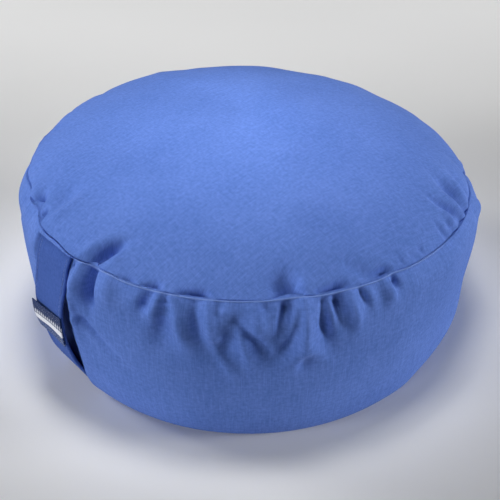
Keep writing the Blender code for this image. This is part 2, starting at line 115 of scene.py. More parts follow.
# The folds of the cover, one row each. A fold starts at a bearing and a reach, the
# distance from the top seam over its panel. It runs a length away from the seam, leaning by some
# degrees towards the higher bearings (90 runs along the seam), and its middle is bent sideways.
# Half width and depth are those of its deepest place, a share of its length; a negative depth is a
# trough.
# bearing, reach, length, lean, bend, half width, depth, deepest
SWEEPS = (
    # a wide sweep: the right side of the band is slimmer
    (100, 58, 150, 90, 0, 23, -2.6, 0.5),
)
TOP_FOLDS = (
    # the deep pucker beside the strap, the roll of cloth over it and the ridge right of it
    (12.2, 0, 25, 32, -2, 2.8, -8, 0.45),
    (8, 0, 32, 38, -1, 4.5, 4.5, 0.3),
    (16, 2, 12, 22, 0, 3.5, 1.2, 0.5),
    # small dents that run along the front of the seam
    (20, 1, 12, 90, 0, 1.8, -2, 0.5),
    (26, 1, 12, 90, -1, 2.5, -4, 0.5),
    (34, 1, 20, 90, -1, 2.6, -5, 0.6),
    (64.5, 1, 23, 90, -0.5, 2.6, -5.5, 0.5),
    (73, 10, 17, 117, 0, 4, -2.4, 0.6),
    (78, 2.5, 18, 96, 0, 2.5, -4.2, 0.6),
    (80, 11, 16, 125, 0, 3.5, 1.2, 0.6),
    # the broad dent in the middle of the front and the ridge right of it
    (58.5, 1, 23, -30, 0, 9, -6.5, 0.2),
    (58.5, 0, 9, -20, 0, 4.5, -4.5, 0.1),
    (62, 1, 14, 0, 0, 5, 2, 0.3),
    # nicks and the fan of soft rays at the right
    (88, 1.5, 6, -30, 0, 1.6, -1.4, 0.3),
    (92, 1.5, 8, -50, 0, 1.8, -1.2, 0.3),
    (95, 1.5, 6, -30, 0, 1.9, -1.6, 0.3),
    (106, 0.5, 13, -15, -2, 2.6, -2.2, 0.3),
    (109.5, 1, 8, -33, 0, 2.4, -2, 0.3),
    (111.5, 1.5, 16, -20, 0, 3.6, 2, 0.3),
    (115.5, 0.5, 31, -25, -4, 3.2, -4.4, 0.3),
    (118, 1, 24, -12, -3, 4.4, 2.6, 0.3),
    (120.5, 0.5, 28, 18, -3, 4.4, -5, 0.35),
    (123, 2, 26, 36, 0, 4.6, 2.8, 0.3),
    (128, 4, 17, 40, 0, 4.4, -2.8, 0.4),
    # the soft roll that runs up from the strap's left corner, and the dents left of it
    (-7, 0, 37, -13, 6, 5, 2.6, 0.25),
    (-7, 5.5, 35, -45, 3, 8.5, -2.8, 0.5),
    (-10, 0, 8, -50, 0, 2.6, -8, 0.2),
    (-15, 0, 14, -55, 0, 3.6, -9.5, 0.2),
    (-20, 2.5, 15, -56, 0, 6, 1.4, 0.3),
    # the top panel's far side
    (141, 1, 22, 14, 0, 5.5, -1.6, 0.2),
    (168, 1, 19, -31, 0, 6, -1.3, 0.2),
    (181, 1, 10, -15, 0, 3.5, -0.7, 0.3),
    (196, 1, 27, 17, 0, 6, -1.6, 0.2),
    (203, 2, 22, 27, 0, 5, 0.7, 0.3),
    (226, 1, 20, -32, 0, 5, -1.3, 0.2),
    (251, 1, 26, 24, 0, 6, -1.6, 0.2),
    (260, 2, 21, 30, 0, 5, 0.8, 0.3),
    (284, 1, 20, -23, 0, 5.5, -1.3, 0.2),
    (297, 1, 9, -17, 0, 3.5, -0.8, 0.3),
    (309, 1, 23, 20, 0, 6, -1.6, 0.2),
    (331, 1, 18, -27, 0, 5, -1.4, 0.2),
)
BAND_FOLDS = (
    # the band beside the strap: a notch, a bulge with a slim foot, a deep crevice, a broad soft
    # swelling, and a crease that runs down to the right over a shallow dent
    (7, 1, 6, 10, 0, 2.6, -4, 0.4),
    (9.6, 3, 28, -5, 0, 4, 3.8, 0.4),
    (8.4, 22, 34, 0, 0, 3.2, 4.4, 0.45),
    (12.9, 0, 32, -3, 1, 3.4, -12, 0.45),
    (17.5, 0.5, 24, 8, 0, 6, 2.6, 0.25),
    (7, 33, 50, 56, 0, 2.8, -4, 0.2),
    (9, 47, 23, 42, 0, 8, -1.6, 0.5),
    # the puckers left of the front's middle
    (28, 1, 14, -22, 0, 3, -5, 0.5),
    (30, 1.5, 19, -12, 0, 3.6, 3.8, 0.4),
    (31.6, 1.5, 5, 0, 0, 2, -2.4, 0.5),
    (32.4, 9, 32, -14, 0, 5, -5, 0.35),
    (33, 2, 42, 18, 0, 5, 4, 0.45),
    (37.8, 1.5, 34, 16, -2, 2.7, -3.2, 0.3),
    (40.8, 2, 25, 9, 0, 4.8, 4.4, 0.75),
    (42.5, 31, 36, 24, 0, 3, 1.6, 0.3),
    (44.3, 2, 7, 0, 0, 2.6, 2, 0.5),
    # the crossing folds in the middle of the front
    (46.3, 10, 34, -11, -1, 3.8, -2.8, 0.5),
    (47, 10, 36, 32, 0, 3.6, -3.6, 0.6),
    (47.6, 20, 36, 15, 0, 3.8, 3.4, 0.3),
    (50.5, 4, 22, 12, 0, 5.5, 4.2, 0.4),
    (52, 1, 6, 0, 0, 4, -2, 0.4),
    (55, 4, 19, -12, 0, 2.4, 1.8, 0.5),
    (57.3, 1.5, 22, -14, 0, 3.4, -5.5, 0.1),
    (58.5, 8, 15, -17, 0, 2.2, 1.6, 0.4),
    (60.1, 7, 38, -26, 3.5, 2.8, -3, 0.6),
    # the tall ridge that forks, and the crevice right of it
    (61, 2, 32, -3, 0, 4.8, 5.8, 0.65),
    (60.8, 30, 28, -26, 0, 4.4, 4, 0.1),
    (61.4, 29, 26, 34, 0, 4, 3.4, 0.1),
    (60.5, 38, 14, 0, 0, 3.8, -1.8, 0.4),
    (65, 3, 32, 8, -2, 3.4, -6, 0.5),
    # the puckers right of it
    (66.5, 6, 14, 8, 0, 2.2, 1.4, 0.5),
    (68.2, 1.5, 22, 13, 0, 3.8, -6, 0.1),
    (71, 2, 28, 11, 0, 4, 4.4, 0.45),
    (74, 1, 17, 18, 0, 1.8, -3, 0.2),
    (76, 2, 8, 10, 0, 2.3, 1.2, 0.4),
    (78.4, 6, 18, 4, 0, 4, -1.2, 0.4),
    (80.5, 1.5, 18, 20, 0, 3.8, 3.4, 0.3),
    (83.4, 1, 8, 0, 0, 2.3, -4, 0.4),
    (107, 2, 21, 47, 0, 3.2, -1, 0.3),
    # the band's far side
    (127, 1, 20, -8, 0, 4.3, -2.5, 0.2),
    (132, 2, 24, 6, 0, 4.2, 1.8, 0.3),
    (146, 1, 34, 13, 0, 5.2, -3.2, 0.2),
    (153, 3, 25, 15, 0, 3.8, 1.6, 0.3),
    (160, 1, 22, -14, 0, 4.4, 2.2, 0.3),
    (165, 1, 13, -18, 0, 3, -2, 0.3),
    (172, 1, 28, 11, 0, 5, -3, 0.2),
    (179, 2, 18, 13, 0, 3.8, 1.6, 0.3),
    (191, 1, 39, -16, 0, 5.6, -3.5, 0.2),
    (197, 2, 29, -11, 0, 4.2, 2, 0.3),
    (209, 1, 24, 13, 0, 4.3, -2.8, 0.2),
    (216, 1, 12, -7, 0, 3, -1.9, 0.3),
    (229, 1, 35, 18, 0, 5.3, -3.2, 0.2),
    (239, 1, 23, -7, 0, 4, 1.9, 0.3),
    (247, 1, 20, -16, 0, 4.2, 2.2, 0.3),
    (252, 1, 14, -6, 0, 3, -2.1, 0.3),
    (262, 1, 36, -13, 0, 5.5, -3.5, 0.2),
    (269, 2, 20, -8, 0, 3.8, 1.8, 0.3),
    (279, 1, 22, 14, 0, 4.2, -2.5, 0.2),
    (289, 1, 18, 9, 0, 3.6, 1.6, 0.3),
    (300, 1, 36, 13, 0, 5.3, -3.2, 0.2),
    (311, 1, 20, -8, 0, 3.8, 1.6, 0.3),
    (321, 1, 25, -19, 0, 4.4, -2.8, 0.2),
    (338, 1, 18, -17, 0, 4, -2.2, 0.3),
)
FOLD_STARTS = 0.5  # share of a fold's depth where it starts
FOLD_ENDS = 0.15  # and where it has run out
FOLD_SPREAD = 0.5  # share by which a fold is wider at its end than at its start
FOLD_REACH = 3.0  # a fold is nothing past this many of its half widths
FOLD_POINTS = 5  # points along a fold's curve

# ---- The strap, as in the solids ----
STRAP_WIDTH = 35.0
STRAP_THICK = 2.2
STRAP_TWIST = 0.8  # how far one edge stands out past the middle of the loop
LIE = 0.4  # gap between pieces that touch
FINGER_AIR = 7.4  # free depth behind the middle of the strap
# The middle of the strap's outer face, from the top seam to the bottom one.
# distance from the middle of the cushion, height
STRAP_ROUTE = (
    (160, 114),
    (163.5, 107),
    (166, 98),
    (169, 87),
    (171, 76),
    (171.5, 64),
    (170.5, 52),
    (168, 41),
    (164.5, 30),
    (160, 19.5),
    (155, 10),
    (150, 3.5),
    (144, 0.8),
)
# how much of FINGER_AIR lies behind the strap, by height: it loops free in its lower half
LOOP_LIFT = ((20, 0.0), (30, 0.35), (44, 1.0), (76, 1.0), (90, 0.2), (100, 0.0))
# Half widths of the hollow behind the strap, left and right of its middle.
# height, left at full depth, left where it has run out, the same two on the right
HOLLOW_WIDTHS = (
    (0, 18, 21.5, 17.2, 18.6),
    (20, 18.2, 24, 17.4, 19),
    (36, 20, 30, 18, 20.6),
    (60, 20.5, 32, 17.8, 19.6),
    (72, 20, 32, 17.7, 19.3),
    (80, 18.6, 26, 17.9, 19.8),
    (92, 18.4, 23, 18.8, 21.2),
    (104, 18.4, 22, 19.4, 22.6),
    (114, 18.4, 22, 18, 20.5),
)
HOLLOW_PAST_END = 7.0  # how far the hollow runs on past the strap's end
BED_POINTS = 240  # points along the strap that shape the hollow

TAG_WIDTH = 35.6
TAG_HEIGHT = 22.5
TAG_THICK = 0.9
TAG_MIDDLE_HEIGHT = 59.5
TAG_TILT = 7.0

# ---- How finely the cover is divided ----
COLUMNS = 576
# bearing, how far apart the cover's columns are there, as shares of each other
COLUMN_SPACINGS = (
    (-180, 1.9), (-60, 1.6), (-17, 0.55), (17, 0.50), (24, 0.85), (112, 0.85), (140, 1.6), (180, 1.9),
)
# distance from the top seam, how far apart the rows are there
TOP_SPACINGS = ((0, 0.30), (1.5, 0.36), (5, 0.7), (9, 1.3), (30, 2.2), (70, 4.5), (160, 9.0))
BAND_SPACINGS = (
    (0, 0.26), (2, 0.30), (5, 0.6), (8, 1.1), (45, 1.8), (100, 2.4), (118, 1.6), (126, 0.8), (140, 0.6),
)
BASE_INSETS = (0, 0.6, 1.2, 1.8, 2.6, 4, 7, 12, 20, 32, 48, 66, 86, 108)  # of the base's rings
CROWN_POINTS, SHOULDER_POINTS, FOOT_POINTS = 900, 200, 500  # of the lines that rows are read from
# Columns thin out towards the middles: inside this radius, one in so many is kept.
THINNING = ((16.0, 8), (36.0, 4), (80.0, 2))
MIDDLE_RADIUS = 3.0  # inside it a fan of faces closes the cover

# ---- The seams' own relief ----
SEAM_GROOVE = 0.40  # depth of the crevice at the top seam
SEAM_GROOVE_HALF = 0.5
# bearing, half width in degrees, how much deeper the crevice is there
SEAM_DEEPER = (
    (0, 6.5, 2.2),
    (-27, 14, 1.2),
    (122, 14, 0.8),
)
LIP_RISE = 0.85  # the band's folded edge beside it
LIP_AT = 0.85
LIP_HALF = 0.38
HIGHLIGHT_FROM, HIGHLIGHT_TO = 8.0, 107.0  # bearings between which this edge is painted paler, a painted highlight
HIGHLIGHT_COMES_IN, HIGHLIGHT_GOES_OUT = 1.0, 8.0  # over so many degrees
TOP_FOLD_START = 1.1  # the folds begin this far from the seam's stitching
BAND_FOLD_START = 2.0
SWEEP_START = 5.0  # and the wide sweeps this far from it
STRAP_COVERS = 6.6  # half width in degrees of the seam that the strap covers
FOOT_SEAM_DEPTH = 2.2
FOOT_SEAM_HALF = 1.3
REST_FROM, REST_FULL = 9.0, 1.0  # below these heights the foot is smooth, where it rests
BASE_HEIGHT = 0.5  # what is lower belongs to the base

GATHER_SEED = 11
GATHER_WAVES = 9
GATHERS = (58, 150)  # fewest and most round the cushion
GATHER_RISE = 0.075
GATHER_REACH = 4.5  # distance from the seam over which the gathers fade

LUMP_SEED = 5
LUMP_WAVES = 26
LUMP_RISE = 0.16
SHORTEST_LUMP, LONGEST_LUMP = 26.0, 80.0
LUMP_START = 14.0  # the lumps are whole this far from the seam

BAND_CLOTH = 500.0  # keeps the band's weave apart from the panels'


def uneven(size, bearing):
    """The offset of one of the cushion's sizes at a bearing."""
    offset = np.zeros_like(bearing)
    for name, waves, amplitude, peak in UNEVEN:
        if name == size:
            offset += amplitude * np.cos(np.radians(waves * (bearing - peak)))
    return offset


def smooth(edge0, edge1, x):
    """0 before edge0, 1 after edge1 and a soft step between them."""
    t = np.clip((x - edge0) / (edge1 - edge0), 0.0, 1.0)
    return t * t * (3.0 - 2.0 * t)


def bump(x, middle, half):
    return np.exp(-((x - middle) / half) ** 2)


def turn_between(bearing, other):
    """The shorter way round from one bearing to another, in degrees."""
    return (bearing - other + 180.0) % 360.0 - 180.0


def smooth_curve(points, count):
    """Count points at even spacing on a smooth curve through the given points."""
    p = np.array(points, float)
    p = np.vstack((2.0 * p[0] - p[1], p, 2.0 * p[-1] - p[-2]))
    dense = []
    for a, b, c, d in zip(p[:-3], p[1:-2], p[2:-1], p[3:]):
        for t in np.linspace(0.0, 1.0, 12, endpoint=False):
            dense.append(0.5 * (2 * b + (c - a) * t + (2 * a - 5 * b + 4 * c - d) * t ** 2
                                + (3 * b - a - 3 * c + d) * t ** 3))
    dense.append(p[-2])
    dense = np.array(dense)
    length = run_lengths(dense)
    even = np.linspace(0.0, length[-1], count)
    return np.column_stack([np.interp(even, length, dense[:, i]) for i in (0, 1)])


def run_lengths(points):
    """The distance along a line of points, at each of them."""
    steps = np.linalg.norm(np.diff(points, axis=0), axis=1)
    return np.concatenate(([0.0], np.cumsum(steps)))


# ---- Mesh helpers ----
def add_piece(name, verts, faces):
    """A mesh object from points in millimetres."""
    mesh = bpy.data.meshes.new(name)
    mesh.from_pydata((np.asarray(verts) * MM).tolist(), [], faces)
    mesh.update()
    mesh.shade_smooth()
    obj = bpy.data.objects.new(name, mesh)
    bpy.context.scene.collection.objects.link(obj)
    return obj


def set_cloth_run(obj, runs):
    """Stores where each point lies on its flat cloth, in metres, for the weave to read."""
    run = obj.data.attributes.new("cloth_run", "FLOAT_VECTOR", "POINT")
    run.data.foreach_set("vector", (np.asarray(runs) * MM).astype(np.float32).ravel())


# ---- The cover's mean section ----
def crown_share(rho):
    """The crown's height over its seam, 1 in the middle and 0 at the seam."""
    return (1.0 - np.clip(rho, 0.0, 1.0) ** CROWN_POWER) ** RIM_POWER


def foot_turn(height):
    """How far the band has turned in towards the foot: 0 at its widest ring, 1 on the floor."""
    down = np.clip((WIDEST_HEIGHT - height) / WIDEST_HEIGHT, 0.0, 1.0)
    return 1.0 - (1.0 - down ** FOOT_POWER) ** (1.0 / FOOT_POWER)


def band_radius(height):
    """The mean radius of the band at a height."""
    up = np.clip((height - WIDEST_HEIGHT) / (SEAM_HEIGHT - WIDEST_HEIGHT), 0.0, 1.0)
    turned_in = (WIDEST_RADIUS - FOOT_RADIUS) * foot_turn(height)
    return WIDEST_RADIUS - BAND_BULGE * up ** BULGE_POWER - turned_in


def even_rows(line, spacings):
    """Rows along a section line, spaced as (length so far, spacing) pairs ask."""
    length = run_lengths(line)
    stops, spaces = zip(*spacings)
    at, stations = 0.0, []
    while at < length[-1]:
        stations.append(at)
        at += float(np.interp(at, stops, spaces))
    return np.column_stack([np.interp(stations, length, line[:, i]) for i in range(line.shape[1])])


def mean_section():
    """Rows from the crown's middle down the outer side to the base's middle.

    Each row is (radius, height, distance past the top seam along the cloth, panel), where panel is
    0 on the top panel, 1 on the band and 2 on the bottom panel.
    """
    rho = 1.0 - np.linspace(0.0, 1.0, CROWN_POINTS) ** 2
    crown = np.column_stack((SEAM_RADIUS * rho, SEAM_HEIGHT + CROWN_RISE * crown_share(rho)))
    top = even_rows(crown, TOP_SPACINGS)[::-1]

    angle = np.linspace(0.0, math.pi / 2.0, FOOT_POINTS)
    low_height = WIDEST_HEIGHT * (1.0 - np.sin(angle) ** (2.0 / FOOT_POWER))
    low_radius = FOOT_RADIUS + (WIDEST_RADIUS - FOOT_RADIUS) * np.cos(angle) ** (2.0 / FOOT_POWER)
    high_height = np.linspace(SEAM_HEIGHT, WIDEST_HEIGHT, SHOULDER_POINTS, endpoint=False)
    side = np.vstack((
        np.column_stack((band_radius(high_height), high_height)),
        np.column_stack((low_radius, low_height)),
        ((FOOT_SEAM_RADIUS, 0.0),),
    ))
    band = even_rows(side, BAND_SPACINGS)[1:]
    base_radius = FOOT_SEAM_RADIUS - np.array(BASE_INSETS)
    base = np.column_stack((base_radius, np.zeros_like(base_radius)))
    rows = []
    for panel, part in enumerate((top, band, base)):
        rows.append(np.column_stack((part, np.full(len(part), float(panel)))))
    rows = np.vstack(rows)
    past = run_lengths(rows[:, :2])
    past -= past[len(top) - 1]
    return np.column_stack((rows[:, :2], past, rows[:, 2]))


def crown_height(bearing, reach):
    """The crown's height over its seam, by the distance from the seam."""
    rho = np.clip(1.0 - reach / SEAM_RADIUS, 0.0, 1.0)
    return (CROWN_RISE + uneven("crown", bearing) * rho) * crown_share(rho)


def bend_cut(bearing, reach):
    """How far the crown is cut down to its straight slope along the front."""
    bearings, bends = zip(*CROWN_BENDS)
    bend = np.interp(turn_between(bearing, 0.0), bearings, bends)
    start = np.maximum(bend, LEAST_BEND)
    straight = crown_height(bearing, start) * reach / start
    gap = crown_height(bearing, reach) - straight
    softness = BEND_SOFTNESS * np.exp(-reach / SEAM_KEPT)
    cut = 0.5 * (gap + np.sqrt(gap ** 2 + BEND_SOFTNESS ** 2) - softness)
    return cut * smooth(0.0, BEND_IS_FULL, bend)


# ---- The cover's folds ----
def fold_path(length, lean, bend):
    """A fold's curve from its start, as (distance round, distance from the seam) points."""
    share = np.linspace(0.0, 1.0, FOLD_POINTS)
    along, aside = length * share, bend * 4.0 * share * (1.0 - share)
    lean = math.radians(lean)
    around = along * math.sin(lean) + aside * math.cos(lean)
    return share, np.column_stack((around, along * math.cos(lean) - aside * math.sin(lean)))


def fold_relief(folds, bearing, reach):
    """The height of all of a table's folds at the points given by bearing and reach."""
    relief = np.zeros_like(bearing)
    for start, start_reach, length, lean, bend, half, depth, deepest in folds:
        around = np.radians(turn_between(bearing, start)) * SEAM_RADIUS
        down = reach - start_reach
        near = np.hypot(around, down) < length + FOLD_REACH * half
        share, path = fold_path(length, lean, bend)
        relief[near] += depth * path_relief(share, path, half, deepest, around[near], down[near])
    return relief


def path_relief(share, path, half, deepest, around, down):
    """A fold's shape, 1 at its deepest place, fading along its path and away to its sides."""
    nearest = np.full_like(around, np.inf)
    place = np.zeros_like(around)
    for share_a, share_b, a, b in zip(share[:-1], share[1:], path[:-1], path[1:]):
        run = b - a
        t = np.clip(((around - a[0]) * run[0] + (down - a[1]) * run[1]) / run.dot(run), 0.0, 1.0)
        away = np.hypot(around - a[0] - t * run[0], down - a[1] - t * run[1])
        closer = away < nearest
        nearest = np.where(closer, away, nearest)
        place = np.where(closer, share_a + (share_b - share_a) * t, place)
    rise = FOLD_STARTS + (1.0 - FOLD_STARTS) * smooth(0.0, deepest, place)
    fall = 1.0 - (1.0 - FOLD_ENDS) * smooth(deepest, 1.0, place)
    widths = half * (1.0 + FOLD_SPREAD * (place - deepest))
    return rise * fall * np.exp(-(nearest / widths) ** 2)


def seam_puckers(bearing, past):
    """Small gathers that the stitching draws in along the top seam."""
    dice = random.Random(GATHER_SEED)
    gather = np.zeros_like(bearing)
    for _ in range(GATHER_WAVES):
        waves = dice.randint(*GATHERS)
        gather += dice.uniform(0.4, 1.0) * np.cos(np.radians(waves * bearing) + dice.uniform(0.0, 6.3))
    # in some stretches of the seam the gathers are stronger
    patch = 0.5 + 0.5 * np.cos(np.radians(3 * bearing + 40)) * np.cos(np.radians(7 * bearing + 10))
    fades = np.exp(-np.abs(past) / GATHER_REACH)
    return GATHER_RISE * gather * (0.35 + patch) * fades * smooth(0.0, 1.2, np.abs(past))


def fill_lumps(x, y, z):
    """The gentle unevenness of loose fill under the cloth."""
    dice = random.Random(LUMP_SEED)
    lumps = np.zeros_like(x)
    for _ in range(LUMP_WAVES):
        length = dice.uniform(SHORTEST_LUMP, LONGEST_LUMP)
        way = Vector((dice.gauss(0, 1), dice.gauss(0, 1), dice.gauss(0, 1)))
        way = way.normalized() * (2 * math.pi / length)
        wave = np.sin(x * way.x + y * way.y + z * way.z + dice.uniform(0.0, 6.3))
        lumps += (length / LONGEST_LUMP) * wave
    return LUMP_RISE * lumps


# ---- The strap's place ----
def strap_lift(height):
    """The free depth behind the strap at a height."""
    heights, shares = zip(*LOOP_LIFT)
    return FINGER_AIR * np.interp(height, heights, shares)


def strap_section(count):
    """The strap's outer face and its inward normal, as (distance, height) rows."""
    face = smooth_curve(STRAP_ROUTE, count)
    run = np.gradient(face, axis=0)
    run /= np.linalg.norm(run, axis=1)[:, None]
    inward = np.column_stack((run[:, 1], -run[:, 0]))
    return face, inward


def press_hollow(x, y, z):
    """Moves the points that lie under the strap back behind it."""
    face, inward = strap_section(BED_POINTS)
    bed = face + inward * (STRAP_THICK + LIE + strap_lift(face[:, 1]))[:, None]
    last = bed[-1] - bed[-2]
    bed = np.vstack((bed, bed[-1] + last / np.linalg.norm(last) * HOLLOW_PAST_END))
    heights, *widths = zip(*HOLLOW_WIDTHS)
    left_flat, left_edge, right_flat, right_edge = (np.interp(z, heights, column) for column in widths)
    flat = np.where(x < 0.0, left_flat, right_flat)
    edge = np.where(x < 0.0, left_edge, right_edge)
    share = 1.0 - smooth(flat, edge, np.abs(x))
    near = np.flatnonzero((share > 0.0) & (y < 0.0))
    points = np.column_stack((-y[near], z[near]))
    run = bed[1:] - bed[:-1]
    offset = points[:, None, :] - bed[None, :-1, :]
    t = np.clip((offset * run).sum(axis=2) / (run * run).sum(axis=1), 0.0, 1.0)
    foot = bed[None, :-1, :] + t[:, :, None] * run
    away = np.linalg.norm(points[:, None, :] - foot, axis=2)
    k = away.argmin(axis=1)
    rows = np.arange(len(near))
    step = foot[rows, k] - points
    outward = np.column_stack((-run[k][:, 1], run[k][:, 0]))
    past_ends = (k + t[rows, k] <= 0.0) | (k + t[rows, k] >= len(run))
    moved = ((step * outward).sum(axis=1) < 0.0) & ~past_ends
    step *= (share[near] * moved)[:, None]
    y[near] -= step[:, 0]
    z[near] += step[:, 1]
    return y, z


# ---- The cover ----
def row_normals(points):
    """The outward normals of a grid of points whose columns close on themselves."""
    around = np.roll(points, -1, axis=1) - np.roll(points, 1, axis=1)
    down = np.gradient(points, axis=0)
    normal = np.cross(down, around)
    normal /= np.maximum(np.linalg.norm(normal, axis=2), 1e-9)[:, :, None]
    return normal


def column_bearings():
    """The bearings of the cover's columns, closer together beside the strap and along the front."""
    bearing = np.linspace(-180.0, 180.0, 4 * 360 + 1)
    density = 1.0 / np.interp(bearing, *zip(*COLUMN_SPACINGS))
    share = np.concatenate(([0.0], np.cumsum(0.5 * (density[1:] + density[:-1]))))
    return np.interp(np.arange(COLUMNS) * share[-1] / COLUMNS, share, bearing)


def cover_form(bearing, radius, height, past, on_top):
    """The cover's points without its folds: the mean section, made uneven all round."""
    seam_lift = uneven("seam_height", bearing)
    seam_out = uneven("seam_radius", bearing)
    pull = np.exp(-np.abs(past) / PULL_REACH)
    for at, half, outwards, upwards in SEAM_PULLS:
        here = bump(turn_between(bearing, at), 0.0, half) * pull
        seam_lift = seam_lift + here * upwards
        seam_out = seam_out + here * outwards

    rho = np.clip(radius / SEAM_RADIUS, 0.0, 1.0)
    top_radius = radius + seam_out * rho
    top_height = height + seam_lift * rho ** 2 + uneven("crown", bearing) * rho * crown_share(rho)
    top_height = top_height - bend_cut(bearing, SEAM_RADIUS - radius)
    turn = foot_turn(height)
    foot_share = turn * np.minimum(radius / FOOT_RADIUS, 1.0)
    side_radius = radius + seam_out * (1.0 - turn) + uneven("foot_radius", bearing) * foot_share
    side_height = height * (1.0 + seam_lift / SEAM_HEIGHT)

    radius = np.where(on_top, top_radius, side_radius)
    height = np.where(on_top, top_height, side_height)
    turned = np.radians(bearing)
    return np.stack((radius * np.sin(turned), -radius * np.cos(turned), height), axis=2)


def cover_relief(points, bearing, radius, height, past, on_top):
    """How far the cloth stands off that form: its folds, gathers and lumps, and the seam itself."""
    away = np.abs(past)
    relief = np.where(on_top, fold_relief(TOP_FOLDS, bearing, SEAM_RADIUS - radius),
                      fold_relief(BAND_FOLDS, bearing, SEAM_HEIGHT - height))
    relief *= smooth(-0.4, np.where(on_top, TOP_FOLD_START, BAND_FOLD_START), away)
    sweep = np.where(on_top, 0.0, fold_relief(SWEEPS, bearing, SEAM_HEIGHT - height))
    relief += sweep * smooth(-1.0, SWEEP_START, away)
    bare = 1.0 - bump(turn_between(bearing, 0.0), 0.0, STRAP_COVERS) ** 3
    relief += seam_puckers(bearing, past) * bare
    deeper = sum(more * bump(turn_between(bearing, at), 0.0, half) for at, half, more in SEAM_DEEPER)
    relief -= (SEAM_GROOVE + deeper) * bump(past, 0.0, SEAM_GROOVE_HALF)
    relief += LIP_RISE * bump(past, LIP_AT, LIP_HALF) * bare
    relief += fill_lumps(*np.moveaxis(points, 2, 0)) * smooth(0.0, LUMP_START, away)
    rests = smooth(REST_FROM, REST_FULL, height) * ~on_top
    return relief * (1.0 - rests)


def cloth_runs(points, bearing, past, on_band):
    """Where each point lies on its flat cloth: the band is a strip, the panels are discs."""
    around = np.radians(bearing) * SEAM_RADIUS
    strip = np.stack((around, -past, np.full_like(around, BAND_CLOTH)), axis=2)
    disc = np.stack((points[:, :, 0], points[:, :, 1], np.zeros_like(around)), axis=2)
    return np.where(on_band[:, :, None], strip, disc)


def edge_highlight_share(bearing, past):
    """How much painted highlight the band's folded edge gets: 1 on its ridge along the front, 0
    elsewhere.
    """
    turn = turn_between(bearing, 0.0)
    starts = smooth(HIGHLIGHT_FROM - HIGHLIGHT_COMES_IN, HIGHLIGHT_FROM, turn)
    ends = smooth(HIGHLIGHT_TO - HIGHLIGHT_GOES_OUT, HIGHLIGHT_TO, turn)
    return starts * (1.0 - ends) * bump(past, LIP_AT, LIP_HALF)


def cover_grid():
    """The cover's points as rows and columns, where each lies on its cloth, and the share of painted
    highlight on its folded edge.
    """
    section = mean_section()
    bearing, radius = np.meshgrid(column_bearings(), section[:, 0])
    height, past, panel = (np.repeat(section[:, i:i + 1], COLUMNS, axis=1) for i in (1, 2, 3))
    on_top = panel == 0
    points = cover_form(bearing, radius, height, past, on_top)
    relief = cover_relief(points, bearing, radius, height, past, on_top)
    points += row_normals(points) * relief[:, :, None]

    on_base = height < BASE_HEIGHT
    foot_groove = FOOT_SEAM_DEPTH * bump(radius, FOOT_SEAM_RADIUS, FOOT_SEAM_HALF) * on_base
    points[:, :, 2] = np.maximum(points[:, :, 2], 0.0) + foot_groove
    x, y, z = (points[:, :, i].ravel() for i in range(3))
    y, z = press_hollow(x, y, z)
    points = np.column_stack((x, y, z)).reshape(points.shape)
    return points, cloth_runs(points, bearing, past, panel == 1), edge_highlight_share(bearing, past)


def make_cover():
    """The closed cover, with fewer columns towards the middles of the top and the base."""
    points, runs, highlight = cover_grid()
    radius = np.hypot(points[:, :, 0], points[:, :, 1]).mean(axis=1)
    verts, cloth, highlights, rings = [], [], [], []
    for row, r in enumerate(radius):
        if r < MIDDLE_RADIUS:
            continue
        step = next((kept for inside, kept in THINNING if r < inside), 1)
        rings.append(list(range(len(verts), len(verts) + COLUMNS // step)))
        verts.extend(points[row, ::step])
        cloth.extend(runs[row, ::step])
        highlights.extend(highlight[row, ::step])
    faces = []
    for upper, lower in zip(rings[:-1], rings[1:]):
        faces.extend(join_rings(upper, lower))
    for row, ring, flip in ((0, rings[0], True), (-1, rings[-1], False)):
        middle = len(verts)
        verts.append(np.array((0.0, 0.0, points[row, :, 2].mean())))
        cloth.append(np.array((0.0, 0.0, 0.0)))
        highlights.append(0.0)
        for a, b in zip(ring, ring[1:] + ring[:1]):
            faces.append((middle, a, b) if flip else (middle, b, a))
    cover = add_piece("cushion_cover", verts, faces)
    set_cloth_run(cover, cloth)
    # the share of painted highlight along the band's folded edge, for the cotton to read
    edge_highlight = cover.data.attributes.new("edge_highlight", "FLOAT", "POINT")
    edge_highlight.data.foreach_set("value", np.array(highlights, np.float32))
    return cover


def join_rings(upper, lower):
    """Faces between two rings, where one may have twice as many points as the other."""
    n, m = len(upper), len(lower)
    if n > m:
        return [face[::-1] for face in join_rings(lower, upper)]
    faces = []
    for i in range(n):
        j = (i + 1) % n
        if n == m:
            faces.append((upper[i], lower[i], lower[j], upper[j]))
        else:
            a, b, c = lower[2 * i], lower[2 * i + 1], lower[2 * j]
            faces += [(upper[i], a, b), (upper[i], b, upper[j]), (upper[j], b, c)]
    return faces


# ---- The strap ----
STITCH_INSET = 2.6  # the topstitching's distance from the strap's edge
STITCH_SINK = 0.22  # how deep the thread pulls the cloth in
STITCH_SINK_HALF = 0.7
STITCH_LENGTH = 2.7
STITCH_GAP = 0.5
STITCH_FROM_END = 2.0
STITCH_POINTS = 900  # points along the strap where a stitch may start
THREAD_RADIUS = 0.22
THREAD_SIDES = 6
# share of a stitch's length, its rise over the cloth in thread radii
STITCH_ARC = ((0, -0.9), (0.12, 0.05), (0.32, 0.55), (0.5, 0.66), (0.68, 0.55), (0.88, 0.05), (1, -0.9))
STRAP_ROWS = 220
STRAP_COLUMNS = 46
RIPPLE_RISE = 0.16  # the strap's slight waves: their rise, and two lengths
RIPPLE_SHORT, RIPPLE_LONG = 5.1, 17.0
RIPPLE_SKEW = 0.9


def strap_point(side, face, inward, i, out):
    """A point over the strap's outer face; side runs from -1 to 1 across the strap."""
    twist = side * STRAP_TWIST * strap_lift(face[i, 1]) / FINGER_AIR
    distance, height = face[i] - inward[i] * (twist + out)
    return np.array((side * STRAP_WIDTH / 2.0, -distance, height))


